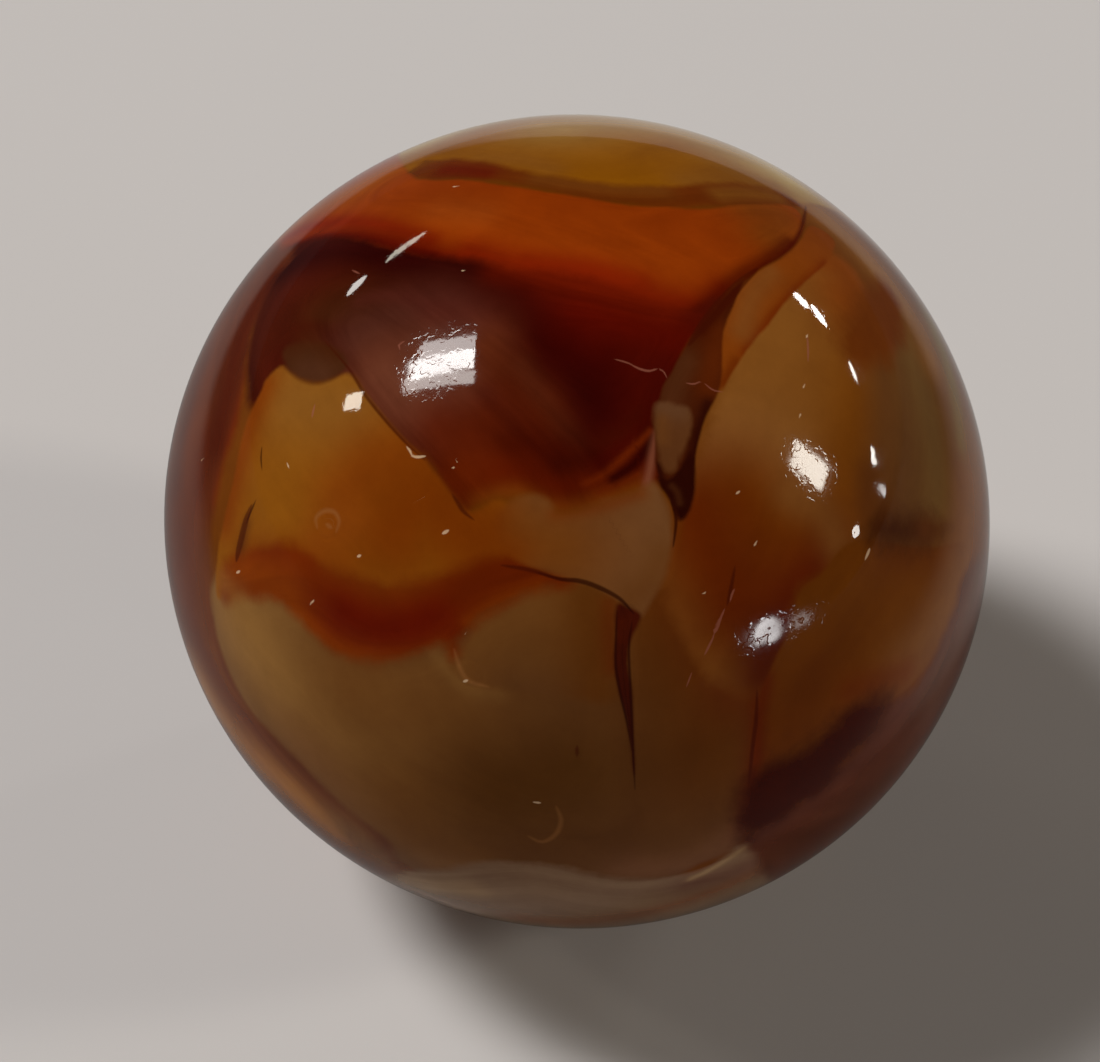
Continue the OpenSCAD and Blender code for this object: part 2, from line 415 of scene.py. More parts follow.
# The regions of the swirl, each painted over the ones before it. "front" holds pixels of the view and
# "behind" places past the limb: degrees around from the long diameter, and degrees out from the face.
# "soft" is the width of the edge's blend in millimetres. Inside a region, each stroke is a soft brush mark
# of one glass: its half width in millimetres, its strength from 0 to 1, and its path.
swirl = [
    {
        "name": "ground",
        "glass": "amber",
        "streaks": 0.15,
        "strokes": [
            ("olive", 1.3, 1.0, [(885, 400), (898, 450), (905, 505)]),
            ("olivePale", 0.9, 0.9, [(905, 340), (930, 420), (938, 500)]),
            ("oliveGreen", 0.45, 0.9, [(930, 320), (950, 375), (962, 440)]),
            ("rosyTan", 0.9, 0.8, [(975, 450), (968, 520), (955, 600)]),
            ("caramelWarm", 0.6, 0.6, [(800, 200), (835, 228), (860, 250)]),
            # A painted reflection of the floor, pale along the upper right limb
            ("rimReflection", 0.65, 0.95, [(814, 208), (850, 242), (884, 280), (912, 320), (928, 356)]),
            ("redBrown", 0.3, 0.9, [(760, 680), (756, 720), (753, 760), (748, 810)]),
            ("smudgeSoft", 0.5, 0.9, [(872, 466), (873, 490), (876, 512)]),
            ("oliveGreen", 1.6, 0.7, {"behind": [(20, 95), (40, 120), (75, 150)]}),
            ("cream", 1.2, 0.6, {"behind": [(50, 90), (62, 112), (85, 135), (120, 155)]}),
            ("ribbonPeach", 2.2, 0.9, {"behind": [(228, 88), (240, 110), (262, 135)]}),
            ("emberBrown", 1.4, 0.8, {"behind": [(205, 118), (235, 145), (290, 165), (350, 160)]}),
            ("caramel", 1.5, 0.8, {"behind": [(10, 105), (25, 135), (60, 165)]}),
        ],
    },
    {
        "name": "backMauve",
        "behind": [(308, 78), (314, 100), (330, 125), (352, 148), (18, 158), (16, 140), (2, 118), (354, 98),
                   (348, 78), (330, 74)],
        "soft": 0.5,
        "glass": "limbMauve",
        "streaks": 0.5,
        "strokes": [
            ("oxbloodLow", 0.8, 0.8, {"behind": [(312, 90), (326, 112), (350, 138)]}),
            ("limbPale", 0.8, 0.6, {"behind": [(350, 90), (0, 115), (12, 135)]}),
        ],
    },
    {
        "name": "backCream",
        "behind": [(310, 76), (318, 100), (332, 128), (346, 150), (320, 166), (286, 160), (262, 138),
                   (250, 112), (246, 90), (262, 74), (288, 72)],
        "soft": 0.4,
        "glass": "cream",
        "streaks": 0.35,
        "strokes": [
            ("creamTan", 1.6, 0.9, {"behind": [(262, 90), (276, 115), (300, 145)]}),
            ("bellyBrown", 1.2, 0.8, {"behind": [(302, 90), (310, 115), (330, 145)]}),
            ("bellyWarm", 0.5, 0.7, {"behind": [(284, 95), (292, 120), (312, 150)]}),
        ],
    },
    {
        "name": "backOchre",
        "behind": [(62, 78), (76, 100), (94, 120), (114, 140), (132, 150), (140, 135), (136, 112), (132, 92),
                   (130, 78), (96, 72)],
        "soft": 0.3,
        "glass": "ochre",
        "streaks": 0.3,
        "strokes": [
            # the cap's painted pale reflection, carried on past the limb
            ("capReflection", 1.0, 0.8, {"behind": [(66, 86), (96, 88), (128, 88)]}),
            ("ochreTan", 0.8, 0.7, {"behind": [(95, 100), (112, 125), (128, 142)]}),
            ("lineBrown", 0.25, 0.8, {"behind": [(70, 90), (84, 108), (104, 130), (126, 148)]}),
        ],
    },
    {
        "name": "backFlame",
        "behind": [(130, 78), (134, 100), (140, 125), (134, 148), (150, 166), (190, 172), (196, 158),
                   (176, 142), (166, 120), (158, 98), (152, 78)],
        "soft": 0.25,
        "glass": "flame",
        "streaks": 0.4,
        "strokes": [
            ("flameRed", 0.5, 0.8, {"behind": [(154, 90), (160, 112), (170, 138), (190, 158)]}),
            ("flameLight", 0.5, 0.7, {"behind": [(140, 95), (146, 122), (150, 148)]}),
            ("emberRed", 0.4, 0.7, {"behind": [(136, 110), (142, 132), (140, 150)]}),
        ],
    },
    {
        "name": "backRibbon",
        "behind": [(152, 78), (158, 98), (166, 120), (178, 142), (206, 160), (244, 164), (246, 148),
                   (222, 132), (208, 112), (204, 92), (200, 78), (176, 74)],
        "soft": 0.3,
        "glass": "ribbonRed",
        "streaks": 0.7,
        "strokes": [
            ("oxblood", 0.8, 0.9, {"behind": [(160, 88), (170, 116), (190, 142), (226, 158)]}),
            ("ribbon", 0.8, 0.8, {"behind": [(188, 88), (194, 112), (212, 138)]}),
            ("ribbonRust", 0.35, 0.8, {"behind": [(202, 92), (206, 112), (224, 138), (242, 152)]}),
            ("mauveGrey", 0.4, 0.7, {"behind": [(174, 92), (182, 116), (202, 142)]}),
        ],
    },
    {
        # Inside the belly the strokes go from pale cream at the upper left to deeper browns at the bottom;
        # that darkening towards the bottom is in part painted shade
        "name": "belly",
        "front": [(208, 590), (240, 560), (300, 560), (400, 600), (500, 560), (600, 560), (680, 560),
                  (700, 640), (748, 700), (751, 780), (742, 842), (700, 866), (640, 890), (560, 900),
                  (470, 890), (400, 862), (340, 810), (290, 760), (248, 708), (224, 660), (212, 622)],
        "soft": 0.3,
        "glass": "bellyBrown",
        "streaks": 0.15,
        "strokes": [
            ("cream", 2.0, 1.0, [(246, 628), (276, 680), (326, 730)]),
            ("creamTan", 1.3, 0.95, [(310, 760), (350, 800), (390, 830)]),
            ("creamShade", 1.7, 0.95, [(360, 680), (410, 700), (450, 700)]),
            ("creamShade", 1.1, 0.8, [(400, 790), (420, 845), (460, 862)]),
            ("creamTan", 0.5, 0.8, [(430, 862), (470, 868)]),
            ("bellyDeepShade", 1.3, 0.9, [(500, 785), (540, 780), (570, 770)]),
            ("bellyWarm", 1.6, 0.95, [(660, 600), (672, 650), (690, 700), (715, 760)]),
            ("emberBrown", 0.9, 0.6, [(690, 600), (715, 650), (735, 690)]),
            ("redBrown", 0.3, 0.6, [(762, 650), (757, 720), (752, 780), (745, 830)]),
            ("cream", 0.2, 0.25, [(436, 655), (450, 672), (470, 690), (500, 694)]),
            # A painted reflection of the ball's shadow on the floor, along the bottom limb
            ("footReflectionWarm", 0.6, 0.5, [(630, 868), (665, 868), (700, 860), (732, 840)]),
        ],
    },
    {
        "name": "lobe",
        "front": [(452, 652), (466, 640), (480, 615), (510, 600), (560, 580), (612, 590), (630, 640),
                  (622, 696), (575, 700), (530, 694), (490, 690), (466, 680), (450, 664)],
        "soft": 0.3,
        "glass": "lobe",
        "streaks": 0.1,
        "strokes": [
            ("creamShade", 1.0, 0.8, [(480, 640), (530, 670), (560, 690)]),
            ("bellyBrown", 0.8, 0.9, [(520, 694), (560, 700), (600, 706)]),
            ("bellyWarm", 0.7, 0.95, [(588, 596), (594, 650), (600, 700)]),
            ("emberBrown", 0.2, 0.6, [(609, 604), (609, 636), (612, 668)]),
        ],
    },
    {
        "name": "rightField",
        "front": [(676, 500), (690, 486), (700, 440), (720, 390), (730, 330), (780, 262), (830, 252),
                  (866, 290), (885, 350), (890, 430), (878, 500), (862, 530), (843, 548), (820, 575),
                  (800, 592), (788, 640), (764, 690), (735, 690), (700, 660), (668, 610), (664, 560),
                  (674, 530)],
        "soft": 0.55,
        "glass": "caramel",
        "streaks": 0.12,
        "strokes": [
            ("caramelWarm", 1.0, 0.9, [(832, 262), (852, 275), (846, 300)]),
            ("caramelVeil", 1.1, 0.8, [(706, 462), (742, 456), (790, 470)]),
            ("caramelDeep", 1.1, 0.9, [(862, 390), (856, 440), (850, 490)]),
            ("olive", 0.7, 0.9, [(886, 370), (888, 430), (884, 490)]),
            ("orangeBrown", 1.5, 1.0, [(745, 508), (780, 540), (820, 560)]),
            ("emberBrown", 1.4, 1.0, [(696, 515), (715, 560), (735, 600)]),
            ("emberBrown", 0.8, 0.7, [(755, 590), (780, 600)]),
            ("redBrown", 0.7, 0.9, [(822, 562), (800, 592), (786, 625)]),
            ("darkRust", 0.8, 0.9, [(768, 645), (762, 675)]),
            ("rosyTan", 0.45, 0.85, [(792, 494), (822, 512), (838, 545)]),
            ("smudgeSoft", 0.4, 0.7, [(868, 475), (866, 505)]),
        ],
    },
    {
        "name": "brownDrop",
        "front": [(842, 334), (847, 312), (862, 294), (884, 284), (900, 304), (904, 336), (892, 362),
                  (870, 370), (850, 358)],
        "soft": 0.7,
        "glass": "dropBrown",
        "streaks": 0.15,
        "strokes": [],
    },
    {
        "name": "amberField",
        "front": [(843, 548), (870, 540), (930, 548), (966, 545), (962, 600), (932, 660), (892, 700),
                  (850, 716), (800, 745), (755, 770), (754, 715), (770, 672), (790, 630), (800, 592),
                  (822, 574)],
        "soft": 0.14,
        "glass": "amber",
        "streaks": 0.15,
        "strokes": [
            ("amberRed", 1.2, 0.95, [(768, 745), (795, 715), (812, 690)]),
            ("redBrown", 0.22, 0.8, [(766, 680), (758, 720), (755, 765)]),
            ("amberPale", 0.9, 0.9, [(955, 585), (935, 625), (905, 662)]),
            ("rosyTan", 0.6, 0.8, [(968, 555), (960, 600)]),
            ("amberRed", 0.5, 0.7, [(885, 556), (930, 552)]),
            ("emberBrown", 0.4, 0.6, [(850, 690), (880, 680), (905, 672)]),
        ],
    },
    {
        "name": "smudge",
        "front": [(870, 524), (888, 513), (908, 514), (930, 522), (952, 526), (934, 538), (912, 547),
                  (890, 548), (872, 538)],
        "soft": 0.8,
        "glass": "smudge",
        "streaks": 0.2,
        "strokes": [("smudgeSoft", 0.5, 0.9, [(950, 528), (926, 530)])],
    },
    # The mauve band along the lower right limb is a painted reflection of the floor in shadow, over the
    # glass, paler where limbPale is laid
    {
        "name": "limbMauve",
        "front": [(742, 850), (800, 802), (862, 745), (893, 704), (915, 688), (937, 650), (954, 612),
                  (966, 575), (986, 556)],
        "behind": [(2, 92), (348, 100), (330, 102), (312, 96)],
        "soft": 0.5,
        "glass": "limbMauve",
        "streaks": 0.35,
        "strokes": [
            ("limbPale", 0.9, 0.9, [(982, 570), (962, 630), (935, 685)]),
            ("mauveDeep", 0.9, 0.9, [(880, 785), (830, 825), (770, 862)]),
        ],
    },
    {
        "name": "oxbloodLow",
        "front": [(741, 842), (738, 806), (746, 780), (760, 768), (790, 752), (830, 724), (860, 702),
                  (886, 700), (880, 726), (850, 764), (812, 798), (772, 828)],
        "soft": 0.9,
        "glass": "oxbloodLow",
        "streaks": 0.2,
        "strokes": [
            ("mauveDeep", 0.5, 0.8, [(792, 830), (842, 786), (884, 728)]),
        ],
    },
    {
        "name": "cap",
        "front": [(404, 170), (425, 160), (450, 162), (500, 172), (560, 183), (620, 191), (680, 194),
                  (740, 196), (790, 200), (808, 204)],
        "behind": [(62, 90), (80, 98), (106, 98), (128, 92)],
        "soft": 0.2,
        "glass": "ochre",
        "streaks": 0.15,
        "strokes": [
            # The two pale strokes along the top limb are a painted reflection of the floor over the ochre
            # glass
            ("capReflection", 1.2, 0.45, [(560, 126), (620, 122), (680, 131), (742, 156), (790, 186)]),
            ("capReflection", 0.8, 0.95, [(420, 145), (490, 120), (580, 112), (670, 122), (740, 148), (790, 180)]),
            ("ochreTan", 0.5, 0.8, [(690, 182), (740, 180), (775, 188)]),
            ("ochreTan", 0.4, 0.7, [(480, 158), (520, 160), (550, 168)]),
        ],
    },
    {
        "name": "lineBrown",
        "front": [(408, 176), (428, 165), (450, 159), (480, 160), (505, 166), (540, 174), (580, 180),
                  (620, 184), (680, 186), (740, 184), (785, 194), (802, 208), (760, 205), (720, 207),
                  (680, 209), (640, 207), (600, 203), (560, 195), (520, 186), (480, 180), (450, 179),
                  (428, 180)],
        "soft": 0.34,
        "glass": "lineBrown",
        "streaks": 0.25,
        "strokes": [
            ("lineRed", 0.3, 0.9, [(446, 170), (470, 171), (486, 173)]),
            ("lineTan", 0.35, 0.9, [(540, 179), (580, 184), (620, 188), (660, 190)]),
            ("ochreTan", 0.3, 0.7, [(720, 194), (750, 193), (775, 196)]),
        ],
    },
    {
        "name": "flameGlass",
        "front": [(408, 172), (430, 180), (460, 180), (520, 187), (580, 197), (640, 206), (700, 208),
                  (750, 205), (792, 207), (802, 222), (794, 246), (762, 267), (735, 286), (715, 305),
                  (690, 322), (640, 330), (560, 300), (500, 286), (440, 268), (400, 258), (360, 250),
                  (320, 252), (296, 262), (270, 268)],
        "behind": [(156, 94), (148, 102), (136, 100), (130, 90)],
        "soft": 0.15,
        "glass": "flame",
        "streaks": 0.35,
        "strokes": [
            ("peach", 0.8, 1.0, [(285, 228), (320, 206), (355, 188), (395, 166)]),
            ("flameRed", 0.3, 0.9, [(285, 238), (318, 225), (358, 222), (400, 230), (430, 240)]),
            ("emberRed", 0.3, 0.95, [(280, 254), (312, 239), (354, 235), (397, 243), (440, 255),
                                     (474, 264)]),
            ("oxbloodRed", 0.14, 0.8, [(284, 254), (316, 240), (355, 237), (396, 246), (436, 256)]),
            ("flameRed", 0.5, 0.9, [(470, 254), (530, 270), (590, 278), (640, 296), (690, 308)]),
            ("emberRed", 0.4, 0.9, [(600, 292), (650, 310), (700, 312), (722, 290)]),
            ("flameLight", 0.5, 0.8, [(440, 208), (482, 212)]),
            ("tanCorner", 0.8, 0.95, [(752, 208), (782, 216), (772, 234)]),
            ("flameRed", 0.35, 0.7, [(530, 264), (580, 269), (640, 282)]),
            ("lineDark", 0.25, 0.8, [(682, 328), (700, 313), (716, 299), (740, 276), (765, 260),
                                     (790, 243)]),
        ],
    },
    {
        "name": "smoky",
        "front": [(246, 360), (254, 318), (266, 281), (286, 250), (318, 237), (356, 237), (393, 246),
                  (430, 253), (470, 259), (500, 265), (540, 271), (590, 280), (640, 297), (690, 314),
                  (716, 302), (705, 325), (690, 345), (680, 372), (672, 400), (672, 440), (668, 478),
                  (652, 488), (643, 487), (610, 499), (575, 509), (560, 512), (540, 500), (510, 494),
                  (486, 502), (466, 510), (452, 496), (425, 460), (405, 442), (385, 420), (365, 395),
                  (355, 378), (352, 378), (334, 376), (300, 372), (274, 380), (262, 404), (250, 404)],
        "soft": 0.36,
        "glass": "maroon",
        "streaks": 0.5,
        "strokes": [
            ("oxblood", 0.7, 1.0, [(280, 276), (302, 260), (345, 251), (392, 259)]),
            ("oxblood", 0.6, 0.95, [(402, 262), (440, 272), (480, 284), (530, 292)]),
            ("plum", 0.6, 0.95, [(440, 288), (480, 302), (525, 322), (545, 340)]),
            ("swirlBrown", 0.9, 1.0, [(258, 345), (285, 318), (315, 304)]),
            ("swirlBrown", 0.5, 1.0, [(264, 302), (256, 330), (250, 362), (250, 392)]),
            ("swirlOlive", 0.7, 0.95, [(322, 320), (345, 308), (366, 316)]),
            ("swirlBrown", 0.2, 0.7, [(280, 335), (310, 326), (335, 336)]),
            ("mauveGrey", 0.8, 0.95, [(358, 336), (396, 318), (430, 320)]),
            ("mauveRose", 0.2, 0.5, [(360, 300), (400, 296), (450, 318), (500, 360), (530, 410)]),
            ("mauve", 0.85, 1.0, [(384, 372), (400, 390), (424, 412)]),
            ("mauveRose", 0.5, 0.95, [(440, 316), (470, 328), (492, 345)]),
            ("mauve", 0.6, 0.8, [(430, 350), (468, 358), (476, 392)]),
            ("russet", 0.6, 1.0, [(492, 348), (506, 378), (524, 404)]),
            ("rustDark", 0.8, 0.95, [(532, 386), (560, 430)]),
            ("russet", 0.3, 0.9, [(522, 366), (540, 396), (562, 428), (578, 448)]),
            ("mauveRose", 0.25, 0.6, [(486, 396), (512, 424)]),
            ("wine", 0.8, 0.9, [(440, 430), (470, 440), (480, 460)]),
            ("rustDark", 0.8, 0.8, [(500, 420), (530, 430)]),
            ("wineDeep", 0.5, 0.95, [(515, 450), (540, 456), (560, 456)]),
            ("oxblood", 1.1, 1.0, [(566, 348), (592, 368), (608, 400), (614, 428)]),
            ("oxblood", 0.6, 0.7, [(600, 372), (616, 396)]),
            ("oxbloodRed", 1.1, 1.0, [(590, 306), (640, 328), (668, 342)]),
            ("deepRed", 0.8, 0.9, [(655, 375), (645, 405), (650, 440)]),
            ("emberRed", 0.4, 0.8, [(560, 280), (610, 291), (662, 306)]),
            ("emberRed", 0.4, 0.7, [(500, 268), (540, 276)]),
            ("rust", 0.7, 0.95, [(462, 482), (490, 488)]),
            ("rustDeep", 0.7, 0.95, [(515, 482), (560, 490), (600, 490), (636, 476)]),
            ("rustLight", 0.22, 0.85, [(478, 502), (515, 493), (560, 509), (610, 498), (644, 486)]),
            ("wineDeep", 0.3, 0.9, [(560, 462), (590, 458), (608, 444), (630, 436), (644, 420)]),
            ("deepRed", 0.2, 0.9, [(600, 462), (622, 448), (642, 428), (652, 404)]),
            ("oxblood", 0.14, 0.95, [(651, 434), (644, 452), (632, 466), (614, 478)]),
            ("emberLine", 0.08, 0.85, [(584, 484), (600, 477), (614, 466), (628, 453), (640, 442),
                                       (650, 431)]),
            ("emberLine", 0.06, 0.7, [(600, 492), (624, 482), (638, 474)]),
            ("rosyStrip", 0.09, 0.95, [(646, 492), (650, 470), (654, 448), (657, 434)]),
        ],
    },
    {
        "name": "honey",
        "front": [(268, 378), (281, 366), (292, 374), (302, 380), (315, 384), (330, 381), (346, 374),
                  (355, 380), (365, 395), (385, 420), (405, 442), (425, 460), (440, 480), (455, 500),
                  (470, 512), (500, 500), (520, 530), (515, 570), (460, 585), (400, 595), (350, 590),
                  (310, 570), (270, 560), (240, 575), (218, 600), (217, 560), (224, 520), (233, 480),
                  (242, 440), (251, 412), (261, 392)],
        "soft": 0.16,
        "glass": "honey",
        "streaks": 0.1,
        "strokes": [
            ("honeyTan", 1.1, 0.9, [(290, 395), (325, 405), (355, 415)]),
            ("honeyAmber", 0.9, 0.95, [(345, 495), (372, 468), (398, 462)]),
            ("honeyOrange", 1.5, 1.0, [(395, 530), (425, 495), (450, 520), (480, 540)]),
            ("honeyAmber", 0.5, 0.7, [(320, 540), (350, 520)]),
            ("honeyEdge", 0.5, 0.95, [(264, 388), (248, 430), (235, 475), (224, 520)]),
            ("honeyEdge", 0.5, 0.7, [(250, 556), (300, 556), (340, 566)]),
            ("smudgeSoft", 0.16, 0.7, [(247, 522), (243, 540), (240, 560)]),
        ],
    },
    {
        "name": "inclusion",
        "front": [(283, 352), (297, 343), (322, 341), (338, 349), (347, 364), (334, 377), (316, 383),
                  (299, 379), (288, 368)],
        "soft": 0.22,
        "glass": "inclusion",
        "streaks": 0.2,
        "strokes": [
            ("inclusionPale", 0.3, 0.9, [(306, 370), (322, 374)]),
            ("swirlOlive", 0.3, 0.8, [(288, 348), (315, 340), (338, 350)]),
        ],
    },
    {
        "name": "smile",
        "front": [(222, 566), (240, 552), (262, 544), (300, 550), (345, 569), (390, 584), (430, 578),
                  (470, 562), (510, 552), (550, 566), (575, 582), (540, 594), (504, 607), (478, 622),
                  (463, 640), (455, 655), (440, 645), (420, 653), (380, 661), (345, 656), (320, 641),
                  (298, 616), (276, 600), (250, 600), (224, 604)],
        "soft": 0.4,
        "glass": "smile",
        "streaks": 0.3,
        "strokes": [
            ("smileOrange", 0.6, 0.95, [(236, 570), (262, 580), (285, 592)]),
            ("smileOrange", 0.28, 0.9, [(292, 608), (318, 636), (355, 655), (400, 657), (440, 648)]),
            ("smileRed", 0.6, 1.0, [(345, 612), (380, 626), (415, 624), (446, 606)]),
            ("smileBrown", 0.35, 0.9, [(330, 562), (380, 582), (425, 576), (465, 560)]),
            ("smileDark", 0.5, 0.9, [(462, 592), (495, 578), (530, 568)]),
            ("smileTan", 0.35, 0.95, [(216, 572), (228, 588), (240, 600)]),
            ("smileOrange", 0.2, 0.7, [(470, 622), (500, 602), (540, 588)]),
        ],
    },
    {
        "name": "tongue",
        "front": [(490, 520), (508, 504), (530, 494), (548, 500), (560, 513), (590, 507), (620, 497),
                  (645, 488), (654, 482), (664, 497), (670, 515), (671, 545), (664, 577), (652, 600),
                  (640, 616), (628, 604), (600, 586), (570, 578), (545, 572), (518, 562), (498, 545)],
        "soft": 0.22,
        "glass": "tongue",
        "streaks": 0.1,
        "strokes": [
            ("tongueTan", 1.2, 1.0, [(505, 525), (530, 540), (556, 548)]),
            ("honeyOrange", 0.6, 0.95, [(486, 515), (492, 540), (506, 556)]),
            ("tongueDeep", 0.4, 0.8, [(632, 596), (650, 580), (662, 556)]),
            ("rustLight", 0.18, 0.7, [(556, 514), (600, 506), (640, 493)]),
        ],
    },
    {
        "name": "ribbon",
        "front": [(292, 250), (272, 282), (256, 322), (248, 356), (244, 384), (238, 412), (230, 445),
                  (220, 482), (213, 520), (210, 560), (212, 600), (218, 640), (229, 674), (248, 707),
                  (284, 744), (316, 776), (352, 814), (398, 852), (380, 880)],
        "behind": [(250, 94), (236, 104), (214, 106), (196, 108), (178, 106), (164, 104), (154, 92)],
        "soft": 0.4,
        "glass": "ribbon",
        "streaks": 0.3,
        "strokes": [
            ("ribbonRed", 0.6, 1.0, [(272, 280), (244, 330), (228, 390), (218, 440)]),
            ("ribbonRust", 0.25, 0.95, [(254, 360), (242, 405), (230, 450), (218, 500)]),
            ("ribbonRed", 0.5, 0.6, [(208, 440), (200, 480)]),
            ("ribbonTan", 0.5, 0.9, [(208, 540), (204, 590), (208, 640)]),
            ("ribbonPeach", 0.9, 1.0, [(205, 690), (240, 742), (285, 785), (330, 825)]),
            ("ribbonPeach", 0.5, 0.7, [(170, 600), (185, 660)]),
            ("ribbonLine", 0.2, 0.9, [(214, 650), (228, 684), (252, 714), (288, 746), (312, 768)]),
            ("creamTan", 0.7, 0.8, [(350, 830), (385, 862)]),
            ("mauveGrey", 0.5, 0.6, [(205, 360), (185, 420), (176, 480)]),
        ],
    },
    {
        "name": "strip",
        "front": [(728, 312), (738, 290), (756, 273), (782, 257), (800, 240), (812, 226), (834, 240),
                  (828, 260), (811, 277), (789, 298), (768, 325), (748, 350), (734, 371), (720, 392),
                  (717, 370), (720, 340)],
        "soft": 0.1,
        "glass": "caramelWarm",
        "streaks": 0.15,
        "strokes": [
            ("stripEdge", 0.13, 0.9, [(826, 264), (802, 286), (782, 306), (761, 330), (745, 352)]),
            ("rosyTan", 0.3, 0.6, [(770, 272), (752, 296), (742, 330)]),
            ("emberBrown", 0.15, 0.8, [(736, 362), (722, 386)]),
        ],
    },
    {
        "name": "crease",
        "front": [(700, 328), (716, 309), (733, 288), (744, 280), (736, 300), (725, 325), (722, 350),
                  (722, 378), (716, 397), (707, 415), (700, 436), (695, 460), (691, 490), (686, 510),
                  (679, 522), (671, 502), (660, 482), (655, 458), (655, 430), (657, 408), (663, 388),
                  (672, 372), (684, 350)],
        "soft": 0.09,
        "glass": "crease",
        "streaks": 0.3,
        "strokes": [
            ("creaseGrey", 0.3, 0.95, [(688, 362), (679, 378), (672, 396)]),
            ("creaseRust", 0.3, 0.9, [(716, 330), (715, 358), (708, 388)]),
            ("creaseRed", 0.22, 0.9, [(738, 286), (718, 306), (700, 328)]),
            # The near-black strokes beside the beige blob are painted shade in the crease's depth
            ("nearBlack", 0.16, 0.9, [(708, 404), (697, 438), (690, 478)]),
            ("nearBlack", 0.1, 0.9, [(659, 466), (662, 480), (670, 492)]),
        ],
    },
    {
        "name": "creaseBeige",
        "front": [(654, 412), (658, 402), (668, 402), (676, 405), (688, 408), (691, 422), (687, 442),
                  (680, 458), (676, 470), (668, 473), (661, 464), (656, 440)],
        "soft": 0.16,
        "glass": "creaseBeige",
        "streaks": 0.15,
        "strokes": [
            ("creasePale", 0.25, 0.9, [(662, 407), (680, 411)]),
            ("tongueDeep", 0.15, 0.6, [(662, 420), (663, 440)]),
        ],
    },
    # The near-black patch below the beige blob is painted shade in the crease's depth
    {
        "name": "creaseBlack",
        "front": [(657, 476), (667, 480), (677, 472), (686, 458), (692, 452), (695, 484), (691, 507),
                  (681, 521), (670, 500), (661, 488)],
        "soft": 0.12,
        "glass": "nearBlack",
        "streaks": 0.2,
        "strokes": [("creaseGrey", 0.07, 0.5, [(672, 486), (677, 492), (680, 503)])],
    },
    {
        "name": "fold",
        "front": [(617, 606), (615, 640), (615, 668), (620, 696), (626, 722), (630, 748), (633, 772),
                  (635, 772), (635, 745), (633, 712), (631, 688), (628, 662), (631, 640), (641, 616),
                  (628, 608)],
        "soft": 0.12,
        "glass": "foldRed",
        "streaks": 0.3,
        "strokes": [("redBrown", 0.1, 0.3, [(622, 622), (622, 640)])],
    },
    # The foot band along the bottom limb is a painted reflection of the floor: pale where the floor is lit,
    # with a bright streak, and warm brown where the ball's shadow lies beneath it
    {
        "name": "foot",
        "front": [(396, 874), (430, 870), (480, 862), (530, 865), (570, 870), (606, 877), (645, 880),
                  (684, 874), (712, 864), (742, 846), (752, 862)],
        "behind": [(310, 92), (290, 98), (270, 98), (254, 92)],
        "soft": 0.4,
        "glass": "foot",
        "streaks": 0.25,
        "strokes": [
            ("footReflectionWarm", 0.45, 0.95, [(520, 918), (580, 922), (650, 912), (710, 893), (760, 868)]),
            ("limbPale", 0.5, 0.8, [(690, 884), (735, 872), (765, 856)]),
            ("footReflectionPale", 0.1, 0.9, [(690, 879), (706, 872), (726, 860), (744, 848)]),
            ("footReflectionPale", 0.5, 0.7, [(410, 884), (440, 886), (470, 890)]),
            ("footReflectionEdge", 0.12, 0.95, [(404, 886), (430, 896), (455, 906), (480, 913)]),
        ],
    },
]

